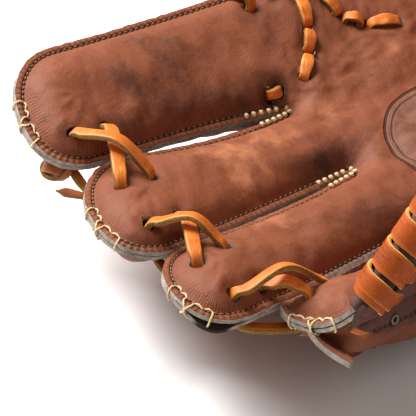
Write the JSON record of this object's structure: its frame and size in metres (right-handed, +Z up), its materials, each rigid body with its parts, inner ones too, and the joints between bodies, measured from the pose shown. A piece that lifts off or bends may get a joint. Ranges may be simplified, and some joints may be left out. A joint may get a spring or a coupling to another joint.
{
  "type": "baseball glove",
  "caption": "Broken-in leather fielding glove for the left hand, lying on its back with the palm up, with laced fingers and a wound web.",
  "frame": {"origin": "on the floor under the middle of the glove's bounding box", "axes": "+Y from the heel to the fingertips, +X from the thumb to the little finger, +Z up out of the palm"},
  "size_m": [0.1928, 0.3018, 0.1844],
  "materials": {
    "leather": "oiled walnut brown, satin",
    "web": "dark brown, satin",
    "lace": "tan orange rawhide, satin"
  },
  "bodies": {
    "root": {"lace_little_ring_over": "lace", "lace_little_ring_under": "lace", "lace_ring_middle_over": "lace", "lace_ring_middle_under": "lace", "lace_middle_index_over": "lace", "lace_middle_index_under": "lace", "lace_little_ring_behind": "lace", "lace_ring_middle_behind": "lace", "lace_middle_index_behind": "lace", "lace_chain_upper_1": "lace", "lace_chain_upper_2": "lace", "lace_chain_upper_3": "lace", "lace_chain_lower_1": "lace", "lace_chain_lower_2": "lace", "lace_chain_lower_3": "lace", "lace_single_1": "lace", "lace_side_1": "lace", "lace_side_2": "lace", "lace_knot": "lace", "lace_end": "lace", "web_lace_index_1": "lace", "web_lace_index_2": "lace", "web_lace_index_3": "lace", "web_lace_thumb_1": "lace", "web_lace_thumb_2": "lace", "web_lace_thumb_3": "lace", "web_panel": "web", "web_roll": "web", "web_band_1": "lace", "web_band_2": "lace", "web_band_3": "lace", "web_band_4": "lace", "web_band_5": "lace", "web_band_6": "lace", "web_band_7": "lace", "web_band_8": "lace", "back_index_fin": "leather", "palm_shell": "leather", "back_index": "leather", "back_middle": "leather", "back_ring": "leather", "back_little": "leather", "back_thumb": "leather", "wrist_strap": "leather"}
  },
  "joints": []
}
